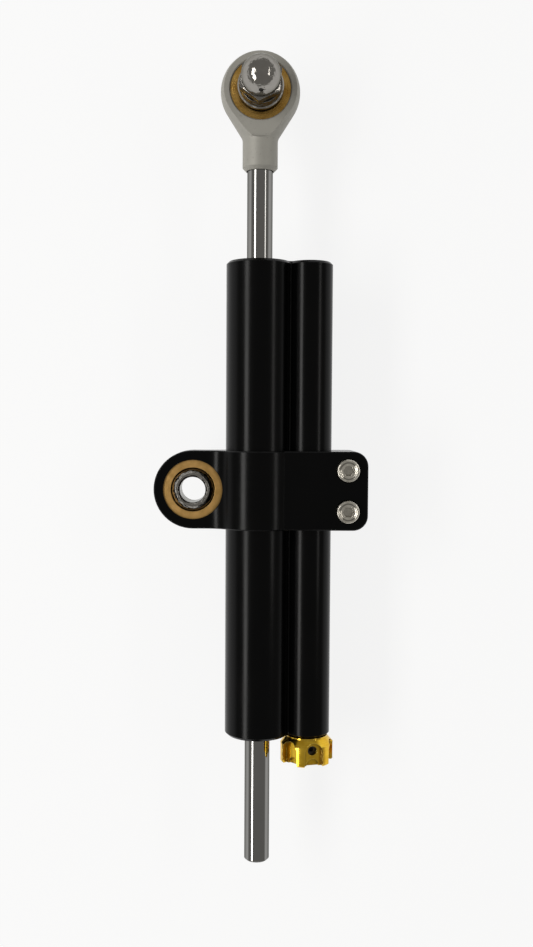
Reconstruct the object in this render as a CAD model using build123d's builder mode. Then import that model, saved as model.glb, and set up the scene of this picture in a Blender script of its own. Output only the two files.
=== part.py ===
from build123d import *
import math
import os

os.makedirs("parts", exist_ok=True)

# A linear steering damper for a motorcycle, in millimetres, lying flat.
# +Y runs along the piston rod towards its rod end, +X from the clamp's bearing across the
# body, +Z towards the side that carries the cap screws and the dome nut.
# The origin is the centre of the bore of the clamp's spherical bearing.

# Driving dimensions

# Fits
fit_gap = 0.02
running_gap = 0.05
seal_gap = 0.03
end_play = 0.05
stop_gap = 0.2
overrun = 1.0

# Overall layout
bearing_to_rod = 20.6
lobe_pitch = 15.9
body_length = 149.8
body_top = 71.3
rod_above_body = 28.0
rod_below_body = 41.3
eye_reach = 24.3

# Body extrusion
main_lobe_radius = 10.4
small_lobe_radius = 7.2
valley_radius = 0.4
body_chamfer = 0.8
main_bore_radius = 7.5
small_bore_radius = 5.0
port_radius = 0.9
port_inset = 1.2

# Rod and piston
rod_radius = 4.0
rod_stub_radius = 3.0
rod_stub_length = 9.4
rod_tip_length = 0.6
rod_tip_chamfer = 0.6
neck_reserve = 0.5
tip_reserve = 0.8
piston_length = 14.0
piston_ring_width = 4.0
piston_ring_depth = 1.0
piston_chamfer = 0.6
clip_thickness = 0.9
clip_depth = 0.5
clip_height = 1.3
clip_opening = 70.0

# Guides at both ends of the main bore
circlip_inset = 1.6
circlip_thickness = 1.0
circlip_groove_depth = 0.4
circlip_width = 1.5
circlip_opening = 46.0
circlip_lug_radius = 1.1
circlip_lug_hole = 0.5
circlip_lug_inset = 0.1
guide_land = 0.15
pocket_radius = 6.4
wiper_depth = 3.6
seal_depth = 4.4
bush_radius = 5.0
bush_share = 0.4
guide_oring_section = 1.6
guide_oring_share = 0.3
guide_chamfer = 0.5
lip_thickness = 0.8
lip_reach = 1.0

# Rod end and spherical bearings
eye_wall = 3.0
eye_flat_height = 5.0
eye_flat_reach = 14.75
eye_flat_end_radius = 8.0
eye_cone_angle = 32.2
eye_blend_radius = 3.0
neck_radius = 5.5
neck_chamfer = 1.1
neck_counterbore_depth = 2.5
neck_counterbore_gap = 0.2
bearing_chamfer = 0.35
ball_bore_radius = 4.0
ball_bore_chamfer = 0.6
ball_radius_share = 1.984375
ball_width_share = 3.0
race_wall = 1.4125
race_width_share = 0.75

# Stud, collar and dome nut through the rod end's ball
collar_radius = 7.1
collar_neck_radius = 6.4
collar_rim_thickness = 2.3
collar_thickness = 5.6
collar_chamfer = 0.4
nut_flats = 12.0
nut_corner_angle = 84.5
nut_hex_height = 4.5
nut_height = 12.1
nut_dome_radius = 5.9
nut_thread_depth = 9.5
hex_chamfer_angle = 30.0
stud_hex_height = 4.0
stud_thread_length = 12.0
stud_thread_chamfer = 0.8
stud_tip_clearance = 1.0

# Clamp
clamp_height = 24.5
clamp_right = 33.85
ear_half_width = 5.0
ear_blend_radius = 8.0
wrap_radius = 12.7
jaw_half_width = 10.0
jaw_corner_radius = 4.6
jaw_slot = 1.5
clamp_chamfer = 0.35
screw_radius = 2.0
screw_head_radius = 3.5
screw_head_height = 4.0
screw_head_chamfer = 0.45
screw_socket_flats = 3.0
screw_socket_depth = 2.1
screw_length = 16.0
screw_hole_gap = 0.2
screw_spacing = 12.7
screw_x = 27.6
counterbore_gap = 0.35
counterbore_depth = 2.2

# Adjuster valve in the small bore
valve_head_length = 4.4
valve_seat_radius = 3.1
valve_seat_thickness = 2.5
seat_hole_radius = 1.0
needle_flats = 5.0
needle_share = 0.39
needle_tip_radius = 1.4
needle_tip_length = 5.4
needle_point_radius = 0.35
needle_rest_lift = 0.8
spindle_radius = 2.0
spindle_thread_radius = 1.5
spindle_thread_share = 0.58
spindle_flange_radius = 2.4
spindle_flange_thickness = 1.2
spindle_step_share = 0.285
valve_annulus_width = 2.4
valve_annulus_depth = 0.8
valve_oring_section = 1.2
spindle_oring_section = 0.8
annulus_hole_radius = 0.6
annulus_hole_count = 4

# Adjuster knob
knob_radius = 8.45
knob_neck_radius = 6.6
knob_height = 8.7
knob_neck_height = 0.4
knob_cone_height = 2.1
knob_edge = 0.4
knob_slot_count = 6
knob_slot_radius = 2.98
knob_slot_floor = 6.15
knob_slot_apex = 1.3
knob_slot_angle = 14.5
knob_notch_radius = 1.95
knob_notch_depth = 0.7
knob_notch_rise = 0.3
knob_recess_radius = 4.4
knob_recess_depth = 1.0
grub_radius = 1.5
grub_length = 2.6
grub_depth = 3.9
grub_socket_flats = 1.5
grub_socket_depth = 1.4
spindle_slot_width = 0.8
spindle_slot_depth = 0.7

# Click detent under the knob
detent_ball_radius = 0.75
detent_pitch_radius = 3.5
detent_pocket_gap = 0.08
detent_proud = 0.65
detent_groove_radius = 0.95
detent_notch_count = 24
detent_notch_depth = 0.2
detent_wire = 0.25
detent_coil_radius = 0.55
detent_coil_pitch = 0.75
detent_turns = 4

# Volume compensator at the top of the small bore
floating_piston_length = 7.0
floating_piston_centre = 47.0
floating_oring_section = 1.3
plug_length = 7.4
plug_inset = 0.5
plug_socket_flats = 4.0
plug_socket_depth = 3.0
compensator_wire = 0.9
compensator_coil_radius = 3.5
compensator_turns = 5

# Derived places, along Y from the clamp's bearing and along X from it
ball_radius = ball_radius_share * ball_bore_radius
ball_width = ball_width_share * ball_bore_radius
race_radius = ball_radius + race_wall
race_width = race_width_share * ball_width
eye_radius = race_radius + eye_wall
rod_x = bearing_to_rod
valve_x = bearing_to_rod + lobe_pitch
body_bottom = body_top - body_length
neck_end = body_top + rod_above_body
rod_tip = body_bottom - rod_below_body
eye_y = neck_end + eye_reach
stroke_up = rod_below_body - tip_reserve
stroke_down = rod_above_body - neck_reserve
piston_space = piston_length + 2 * (clip_thickness + end_play + stop_gap)
chamber_length = stroke_up + stroke_down + piston_space
guide_length = (body_length - chamber_length) / 2 - circlip_inset - circlip_thickness
guide_face = circlip_inset + circlip_thickness
bush_length = bush_share * guide_length
guide_oring_inset = guide_oring_share * guide_length
chamber_top = body_top - guide_face - guide_length
chamber_bottom = body_bottom + guide_face + guide_length
piston_top = chamber_top - stop_gap - clip_thickness - end_play - stroke_up
piston_bottom = piston_top - piston_length

# Sketches on this plane read as radius and height of a turned part on the rod's axis.
rod_plane = Plane(origin=(rod_x, 0, 0), x_dir=(1, 0, 0), z_dir=(0, 0, 1))
rod_axis = Axis((rod_x, 0, 0), (0, 1, 0))
valve_plane = Plane(origin=(valve_x, 0, 0), x_dir=(1, 0, 0), z_dir=(0, 0, 1))
valve_axis = Axis((valve_x, 0, 0), (0, 1, 0))


def across(y):
    """The plane square to the rod at height y, with its x along +X and its y along +Z."""
    return Plane(origin=(0, y, 0), x_dir=(1, 0, 0), z_dir=(0, -1, 0))


def lobe_outline(margin):
    """The body's two-lobed section, grown outwards by margin, in the open sketch."""
    with Locations((rod_x, 0)):
        Circle(main_lobe_radius + margin)
    with Locations((valve_x, 0)):
        Circle(small_lobe_radius + margin)


def valley_corners(sketch):
    """The two corners where the lobes of the sketch meet."""
    return sketch.vertices().filter_by(lambda v: rod_x < v.X < valve_x and abs(v.Y) > fit_gap)


def coil_path(x, start_y, mean_radius, pitch, turns):
    """Draws a coil's centre line about a line parallel to +Y at x, in quarter turns of two arcs."""
    steps = 4 * turns
    climb = pitch / 4
    rise = pitch / math.tau

    def place(step):
        angle = math.pi / 2 * step
        return Vector(
            x + mean_radius * math.cos(angle),
            start_y + climb * step,
            mean_radius * math.sin(angle),
        )

    def heading(step):
        angle = math.pi / 2 * step
        return Vector(
            -mean_radius * math.sin(angle), rise, mean_radius * math.cos(angle)
        ).normalized()

    for step in range(steps):
        here = place(step)
        there = place(step + 1)
        way_in = heading(step)
        way_out = heading(step + 1)
        chord = there - here
        along = chord.dot(way_in + way_out)
        spread = 2 * (1 - way_in.dot(way_out))
        # The reach of each arc's tangent leg makes both legs and the bar between them equal.
        root = math.sqrt(along * along + spread * chord.dot(chord))
        leg = (root - along) / spread
        middle = (here + way_in * leg + there - way_out * leg) / 2
        TangentArc(here, middle, tangent=way_in)
        TangentArc(there, middle, tangent=way_out * -1)


def coil_gap(mean_radius, pitch, turns, wire):
    """The least space between neighbouring turns of a coil, measured on points along it."""
    samples = [math.tau * turns * i / 200 for i in range(201)]
    points = [
        (mean_radius * math.cos(a), pitch * a / math.tau, mean_radius * math.sin(a))
        for a in samples
    ]
    least = pitch
    for i, a in enumerate(samples):
        for j in range(i + 1, len(samples)):
            if samples[j] - a > math.pi:
                least = min(least, math.dist(points[i], points[j]))
    return least - wire


# Body: a two-lobed bar with the rod's bore in one lobe and the valve's bore in the other
with BuildPart() as body:
    with BuildSketch(across(body_top)) as body_section:
        lobe_outline(0)
        fillet(valley_corners(body_section), radius=valley_radius)
    extrude(amount=body_length)
    ends = body.edges().group_by(Axis.Y)
    chamfer(ends[0] + ends[-1], length=body_chamfer)
    with BuildSketch(across(body_top + overrun)):
        with Locations((rod_x, 0)):
            Circle(main_bore_radius)
        with Locations((valve_x, 0)):
            Circle(small_bore_radius)
    extrude(amount=body_length + 2 * overrun, mode=Mode.SUBTRACT)
    # Circlip grooves at both mouths of the main bore
    for groove_top in (body_top - circlip_inset, body_bottom + guide_face):
        with BuildSketch(across(groove_top)):
            with Locations((rod_x, 0)):
                Circle(main_bore_radius + circlip_groove_depth)
        extrude(amount=circlip_thickness, mode=Mode.SUBTRACT)
    # Cross ports between the bores, one at each end of the oil chamber
    for port_y in (chamber_top - port_inset, chamber_bottom + port_inset):
        with BuildSketch(Plane.YZ.offset(rod_x)):
            with Locations((port_y, 0)):
                Circle(port_radius)
        extrude(amount=lobe_pitch, mode=Mode.SUBTRACT)
body.part.label = "body"
export_step(body.part, "parts/body.step")


# Piston rod: one ground bar right through the body, with a threaded stub for the rod end
rod_shoulder = neck_end + neck_counterbore_depth
clip_low_y = piston_bottom - end_play - clip_thickness
clip_high_y = piston_top + end_play
clip_mouth = rod_radius + clip_height
clip_spread = math.tan(math.radians(clip_opening / 2))
with BuildPart() as piston_rod:
    with BuildSketch(rod_plane):
        with BuildLine():
            Polyline(
                (0, rod_tip),
                (rod_radius - rod_tip_chamfer, rod_tip),
                (rod_radius, rod_tip + rod_tip_length),
                (rod_radius, rod_shoulder),
                (rod_stub_radius, rod_shoulder),
                (rod_stub_radius, rod_shoulder + rod_stub_length),
                (0, rod_shoulder + rod_stub_length),
                close=True,
            )
        make_face()
    revolve(axis=rod_axis)
    tip_edges = piston_rod.edges().filter_by(GeomType.CIRCLE).group_by(Axis.Y)
    fillet(tip_edges[0], radius=rod_tip_chamfer / 2)
    for clip_y in (clip_low_y, clip_high_y):
        with BuildSketch(rod_plane):
            with BuildLine():
                Polyline(
                    (rod_radius - clip_depth, clip_y),
                    (rod_radius + overrun, clip_y),
                    (rod_radius + overrun, clip_y + clip_thickness),
                    (rod_radius - clip_depth, clip_y + clip_thickness),
                    close=True,
                )
            make_face()
        revolve(axis=rod_axis, mode=Mode.SUBTRACT)
piston_rod.part.label = "piston_rod"
export_step(piston_rod.part, "parts/piston_rod.step")


# Piston clips: two open rings in the rod's grooves, one on each side of the piston
with BuildPart() as piston_clips:
    for clip_y in (clip_low_y, clip_high_y):
        with BuildSketch(across(clip_y + clip_thickness - fit_gap)):
            with Locations((rod_x, 0)):
                Circle(rod_radius - clip_depth + clip_height)
                Circle(rod_radius - clip_depth + fit_gap, mode=Mode.SUBTRACT)
            with BuildLine():
                Polyline(
                    (rod_x, 0),
                    (rod_x + clip_mouth, clip_mouth * clip_spread),
                    (rod_x + clip_mouth, -clip_mouth * clip_spread),
                    close=True,
                )
            make_face(mode=Mode.SUBTRACT)
        extrude(amount=clip_thickness - 2 * fit_gap)
piston_clips.part.label = "piston_clips"
export_step(piston_clips.part, "parts/piston_clips.step")


# Piston: a bobbin that turns freely on the rod between the clips
piston_outer = main_bore_radius - running_gap
piston_bore = rod_radius + running_gap
ring_low = (piston_top + piston_bottom - piston_ring_width) / 2
ring_high = ring_low + piston_ring_width
with BuildPart() as piston:
    with BuildSketch(rod_plane):
        with BuildLine():
            Polyline(
                (piston_bore, piston_bottom),
                (piston_outer - piston_chamfer, piston_bottom),
                (piston_outer, piston_bottom + piston_chamfer),
                (piston_outer, ring_low),
                (piston_outer - piston_ring_depth, ring_low),
                (piston_outer - piston_ring_depth, ring_high),
                (piston_outer, ring_high),
                (piston_outer, piston_top - piston_chamfer),
                (piston_outer - piston_chamfer, piston_top),
                (piston_bore, piston_top),
                close=True,
            )
        make_face()
    revolve(axis=rod_axis)
piston.part.label = "piston"
export_step(piston.part, "parts/piston.step")


# Piston ring: a slippery band in the piston's groove that seals on the bore
with BuildPart() as piston_ring:
    with BuildSketch(across(ring_high - fit_gap)):
        with Locations((rod_x, 0)):
            Circle(main_bore_radius - seal_gap)
            Circle(piston_outer - piston_ring_depth + fit_gap, mode=Mode.SUBTRACT)
    extrude(amount=piston_ring_width - 2 * fit_gap)
piston_ring.part.label = "piston_ring"
export_step(piston_ring.part, "parts/piston_ring.step")


# The same guide, bush, seals and circlip close the main bore at both ends.
guide_outer = main_bore_radius - fit_gap
for end_name, mouth, inward in (("top", body_top, -1), ("bottom", body_bottom, 1)):

    def at(depth):
        """The height of a point that lies depth inside the mouth of the bore."""
        return mouth + inward * depth

    outer_face = guide_face
    inner_face = guide_face + guide_length
    bush_end = inner_face - seal_depth
    bush_start = bush_end - bush_length
    groove_start = outer_face + guide_oring_inset
    groove_end = groove_start + guide_oring_section + 2 * fit_gap
    groove_floor = guide_outer - guide_oring_section

    # Guide: the plug that carries the bush and the seals
    with BuildPart() as guide:
        with BuildSketch(rod_plane):
            with BuildLine():
                Polyline(
                    (pocket_radius, at(outer_face)),
                    (guide_outer - guide_chamfer, at(outer_face)),
                    (guide_outer, at(outer_face + guide_chamfer)),
                    (guide_outer, at(groove_start)),
                    (groove_floor, at(groove_start)),
                    (groove_floor, at(groove_end)),
                    (guide_outer, at(groove_end)),
                    (guide_outer, at(inner_face)),
                    (pocket_radius, at(inner_face)),
                    (pocket_radius, at(bush_end)),
                    (bush_radius, at(bush_end)),
                    (bush_radius, at(bush_start)),
                    (rod_radius + guide_land, at(bush_start)),
                    (rod_radius + guide_land, at(outer_face + wiper_depth)),
                    (pocket_radius, at(outer_face + wiper_depth)),
                    close=True,
                )
            make_face()
        revolve(axis=rod_axis)
    guide.part.label = end_name + "_guide"
    export_step(guide.part, "parts/" + end_name + "_guide.step")

    # Bush: the plain bearing that the rod slides in
    with BuildPart() as bush:
        with BuildSketch(rod_plane):
            with BuildLine():
                Polyline(
                    (rod_radius + running_gap, at(bush_start + fit_gap)),
                    (bush_radius - fit_gap, at(bush_start + fit_gap)),
                    (bush_radius - fit_gap, at(bush_end)),
                    (rod_radius + running_gap, at(bush_end)),
                    close=True,
                )
            make_face()
        revolve(axis=rod_axis)
    bush.part.label = end_name + "_bush"
    export_step(bush.part, "parts/" + end_name + "_bush.step")

    # Rod seal: a lipped ring whose hollow side faces the oil
    seal_back = bush_end + fit_gap
    seal_heel = seal_back + lip_reach
    with BuildPart() as rod_seal:
        with BuildSketch(rod_plane):
            with BuildLine():
                Polyline(
                    (rod_radius + guide_land, at(seal_back)),
                    (pocket_radius - fit_gap, at(seal_back)),
                    (pocket_radius - fit_gap, at(inner_face)),
                    (pocket_radius - lip_thickness, at(inner_face)),
                    ((pocket_radius + rod_radius) / 2, at(seal_heel + lip_reach)),
                    (rod_radius + lip_thickness, at(inner_face)),
                    (rod_radius + seal_gap, at(inner_face - lip_thickness)),
                    (rod_radius + guide_land, at(seal_heel)),
                    close=True,
                )
            make_face()
        revolve(axis=rod_axis)
    rod_seal.part.label = end_name + "_rod_seal"
    export_step(rod_seal.part, "parts/" + end_name + "_rod_seal.step")

    # Wiper: the dust lip that looks out of the bore round the rod
    wiper_back = outer_face + wiper_depth - fit_gap
    with BuildPart() as wiper:
        with BuildSketch(rod_plane):
            with BuildLine():
                Polyline(
                    (rod_radius + guide_land, at(wiper_back)),
                    (pocket_radius - fit_gap, at(wiper_back)),
                    (pocket_radius - fit_gap, at(outer_face + fit_gap)),
                    (pocket_radius - lip_thickness, at(outer_face + fit_gap)),
                    (rod_radius + 2 * lip_thickness, at(outer_face + lip_reach)),
                    (rod_radius + lip_thickness, at(outer_face - lip_reach)),
                    (rod_radius + seal_gap, at(outer_face - lip_reach)),
                    (rod_radius + seal_gap, at(outer_face)),
                    (rod_radius + guide_land, at(outer_face + lip_reach)),
                    close=True,
                )
            make_face()
        revolve(axis=rod_axis)
    wiper.part.label = end_name + "_wiper"
    export_step(wiper.part, "parts/" + end_name + "_wiper.step")

    # Guide O-ring: seals the guide in the bore
    with BuildPart() as guide_oring:
        with BuildSketch(rod_plane):
            with Locations(
                (guide_outer - guide_oring_section / 2, at((groove_start + groove_end) / 2))
            ):
                Circle(guide_oring_section / 2 - fit_gap)
        revolve(axis=rod_axis)
    guide_oring.part.label = end_name + "_guide_oring"
    export_step(guide_oring.part, "parts/" + end_name + "_guide_oring.step")

    # Circlip: an open ring with two lugs, in the bore's groove
    ring_outer = main_bore_radius + circlip_groove_depth - fit_gap
    ring_inner = ring_outer - circlip_width
    lug_centre = ring_inner - circlip_lug_inset
    lug_angle = math.radians(circlip_opening / 2)
    clip_face = max(at(circlip_inset), at(guide_face)) - fit_gap
    with BuildPart() as circlip:
        with BuildSketch(across(clip_face)):
            with Locations((rod_x, 0)):
                Circle(ring_outer)
                Circle(ring_inner, mode=Mode.SUBTRACT)
            with BuildLine():
                Polyline(
                    (rod_x, 0),
                    (rod_x - ring_outer * math.sin(lug_angle), ring_outer + overrun),
                    (rod_x + ring_outer * math.sin(lug_angle), ring_outer + overrun),
                    close=True,
                )
            make_face(mode=Mode.SUBTRACT)
            lug_spots = [
                (rod_x + side * lug_centre * math.sin(lug_angle), lug_centre * math.cos(lug_angle))
                for side in (-1, 1)
            ]
            with Locations(*lug_spots):
                Circle(circlip_lug_radius)
            with Locations(*lug_spots):
                Circle(circlip_lug_hole, mode=Mode.SUBTRACT)
        extrude(amount=circlip_thickness - 2 * fit_gap)
    circlip.part.label = end_name + "_circlip"
    export_step(circlip.part, "parts/" + end_name + "_circlip.step")


# Rod end: a turned head with two milled flats, a bearing eye and a neck for the rod's stub
cone = math.radians(eye_cone_angle)
cone_start = (eye_radius * math.cos(cone), eye_y - eye_radius * math.sin(cone))
cone_drop = (cone_start[0] - neck_radius) / math.tan(cone)
cone_foot = (neck_radius, cone_start[1] - cone_drop)
with BuildPart() as rod_end:
    with BuildSketch(rod_plane):
        with BuildLine():
            Polyline(
                (0, neck_end),
                (neck_radius - neck_chamfer, neck_end),
                (neck_radius, neck_end + neck_chamfer),
                cone_foot,
                cone_start,
            )
            ThreePointArc(
                cone_start,
                (eye_radius * math.cos(cone / 2), eye_y + eye_radius * math.sin(cone / 2)),
                (0, eye_y + eye_radius),
            )
            Line((0, eye_y + eye_radius), (0, neck_end))
        make_face()
    revolve(axis=rod_axis)
    blend_edge = rod_end.edges().filter_by(GeomType.CIRCLE).sort_by(
        lambda e: abs(e.center().Y - cone_foot[1])
    )[0]
    fillet(blend_edge, radius=eye_blend_radius)
    # The two flats, with a round end towards the neck
    flat_end_y = eye_y - eye_flat_reach + eye_flat_end_radius
    flat_side_y = flat_end_y - eye_flat_end_radius / 2
    for side in (-1, 1):
        with BuildSketch(Plane.XY.offset(side * eye_flat_height)):
            with Locations((rod_x, flat_end_y)):
                Circle(eye_flat_end_radius)
            with Locations((rod_x, flat_side_y + 2 * eye_radius)):
                Rectangle(4 * eye_radius, 4 * eye_radius)
        extrude(amount=side * eye_radius, mode=Mode.SUBTRACT)
    # The bearing's seat through both flats
    with BuildSketch(Plane.XY.offset(-eye_flat_height - overrun)):
        with Locations((rod_x, eye_y)):
            Circle(race_radius)
    extrude(amount=2 * (eye_flat_height + overrun), mode=Mode.SUBTRACT)
    seat_edges = rod_end.edges().filter_by(GeomType.CIRCLE).filter_by(
        lambda e: abs(e.radius - race_radius) < fit_gap
    )
    chamfer(seat_edges, length=bearing_chamfer)
    # The rod's counterbore and thread
    with BuildSketch(rod_plane):
        with BuildLine():
            Polyline(
                (0, neck_end - overrun),
                (rod_radius + neck_counterbore_gap, neck_end - overrun),
                (rod_radius + neck_counterbore_gap, rod_shoulder),
                (rod_stub_radius + fit_gap, rod_shoulder),
                (rod_stub_radius + fit_gap, rod_shoulder + rod_stub_length + fit_gap),
                (0, rod_shoulder + rod_stub_length + rod_stub_radius / 2),
                close=True,
            )
        make_face()
    revolve(axis=rod_axis, mode=Mode.SUBTRACT)
rod_end.part.label = "rod_end"
export_step(rod_end.part, "parts/rod_end.step")


# Spherical bearings: a race and a ball in the rod end, and the same pair in the clamp
race_bore = ball_radius + running_gap
race_opening = math.sqrt(race_bore**2 - (race_width / 2) ** 2)
for place_name, bearing_x, bearing_y in (("rod_end", rod_x, eye_y), ("clamp", 0, 0)):
    bearing_plane = Plane(origin=(bearing_x, bearing_y, 0), z_dir=(0, 0, 1))
    bearing_axis = Axis((bearing_x, bearing_y, 0), (0, 0, 1))

    # Race: the brass ring with a spherical seat
    with BuildPart() as race:
        with BuildSketch(bearing_plane.offset(-race_width / 2)):
            Circle(race_radius - fit_gap)
        extrude(amount=race_width)
        with BuildSketch(bearing_plane.rotated((90, 0, 0))):
            Circle(race_bore)
            with Locations((-race_bore, 0)):
                Rectangle(2 * race_bore, 4 * race_bore, mode=Mode.SUBTRACT)
        revolve(axis=bearing_axis, mode=Mode.SUBTRACT)
        mouth_edges = race.edges().filter_by(GeomType.CIRCLE).filter_by(
            lambda e: abs(e.radius - race_opening) < fit_gap
        )
        chamfer(mouth_edges, length=bearing_chamfer)
    race.part.label = place_name + "_race"
    export_step(race.part, "parts/" + place_name + "_race.step")

    # Ball: the chromed sphere with flat faces and a through bore
    with BuildPart() as ball:
        with BuildSketch(bearing_plane.rotated((90, 0, 0))):
            Circle(ball_radius)
            with Locations((-ball_radius, 0)):
                Rectangle(2 * ball_radius, 4 * ball_radius, mode=Mode.SUBTRACT)
            Rectangle(4 * ball_radius, ball_width, mode=Mode.INTERSECT)
            Rectangle(2 * ball_bore_radius, 4 * ball_radius, mode=Mode.SUBTRACT)
        revolve(axis=bearing_axis)
        bore_edges = ball.edges().filter_by(GeomType.CIRCLE).filter_by(
            lambda e: abs(e.radius - ball_bore_radius) < fit_gap
        )
        chamfer(bore_edges, length=ball_bore_chamfer)
    ball.part.label = place_name + "_ball"
    export_step(ball.part, "parts/" + place_name + "_ball.step")


# Places along Z on the stud's axis
stud_plane = Plane(origin=(rod_x, eye_y, 0), z_dir=(0, 0, 1))
stud_axis = Axis((rod_x, eye_y, 0), (0, 0, 1))
ball_face = ball_width / 2
collar_top = ball_face + collar_thickness
nut_hex_top = collar_top + nut_hex_height
nut_top = collar_top + nut_height
hex_corner_radius = nut_flats / math.sqrt(3)
hex_slope = math.tan(math.radians(hex_chamfer_angle))


def hexagon(plane):
    """A hexagon of the nut's size on the plane, with one corner nearly towards -Y."""
    with BuildSketch(plane) as outline:
        RegularPolygon(radius=hex_corner_radius, side_count=6, rotation=nut_corner_angle)
    return outline.sketch


def hex_rounding(low, high):
    """The half section of a disc from low to high whose rims cut back a hexagon's corners."""
    flat_edge = nut_flats / 2
    drop = (hex_corner_radius - flat_edge) * hex_slope
    with BuildSketch(stud_plane.rotated((90, 0, 0))) as section:
        with BuildLine():
            Polyline(
                (0, low),
                (flat_edge, low),
                (hex_corner_radius, low + drop),
                (hex_corner_radius, high - drop),
                (flat_edge, high),
                (0, high),
                close=True,
            )
        make_face()
    return section.sketch


# Mounting stud: a shank through the ball, a hexagon behind it and a free threaded end
hex_back = -ball_face - stud_hex_height
stud_back = hex_back - stud_thread_length
stud_front = collar_top + nut_thread_depth - stud_tip_clearance
with BuildPart() as mounting_stud:
    extrude(hexagon(stud_plane.offset(hex_back)), amount=stud_hex_height)
    revolve(hex_rounding(hex_back, -ball_face), axis=stud_axis, mode=Mode.INTERSECT)
    with BuildSketch(stud_plane.offset(stud_back)):
        Circle(ball_bore_radius)
    extrude(amount=stud_thread_length)
    thread_end = mounting_stud.edges().filter_by(GeomType.CIRCLE).sort_by(Axis.Z)[0]
    chamfer(thread_end, length=stud_thread_chamfer)
    with BuildSketch(stud_plane.offset(-ball_face)):
        Circle(ball_bore_radius - running_gap)
    extrude(amount=ball_face + stud_front)
    front_end = mounting_stud.edges().filter_by(GeomType.CIRCLE).sort_by(Axis.Z)[-1]
    chamfer(front_end, length=stud_thread_chamfer)
mounting_stud.part.label = "mounting_stud"
export_step(mounting_stud.part, "parts/mounting_stud.step")


# Stud collar: a flanged spacer between the ball and the dome nut
collar_shoulder = ball_face + collar_rim_thickness
with BuildPart() as stud_collar:
    with BuildSketch(stud_plane.rotated((90, 0, 0))):
        with BuildLine():
            Polyline(
                (ball_bore_radius, ball_face),
                (collar_radius - collar_chamfer, ball_face),
                (collar_radius, ball_face + collar_chamfer),
                (collar_radius, collar_shoulder - collar_chamfer),
                (collar_radius - collar_chamfer, collar_shoulder),
                (collar_neck_radius, collar_top),
                (ball_bore_radius, collar_top),
                close=True,
            )
        make_face()
    revolve(axis=stud_axis)
stud_collar.part.label = "stud_collar"
export_step(stud_collar.part, "parts/stud_collar.step")


# Dome nut: a hexagon that carries a cylinder and a half sphere
with BuildPart() as dome_nut:
    extrude(hexagon(stud_plane.offset(collar_top)), amount=nut_hex_height)
    revolve(hex_rounding(collar_top, nut_hex_top), axis=stud_axis, mode=Mode.INTERSECT)
    with BuildSketch(stud_plane.rotated((90, 0, 0))):
        with BuildLine():
            Polyline(
                (0, nut_top),
                (0, collar_top + nut_hex_height / 2),
                (nut_dome_radius, collar_top + nut_hex_height / 2),
                (nut_dome_radius, nut_top - nut_dome_radius),
            )
            RadiusArc(
                (nut_dome_radius, nut_top - nut_dome_radius), (0, nut_top), -nut_dome_radius
            )
        make_face()
    revolve(axis=stud_axis)
    with BuildSketch(stud_plane.offset(collar_top)):
        Circle(ball_bore_radius)
    extrude(amount=nut_thread_depth, mode=Mode.SUBTRACT)
dome_nut.part.label = "dome_nut"
export_step(dome_nut.part, "parts/dome_nut.step")


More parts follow.
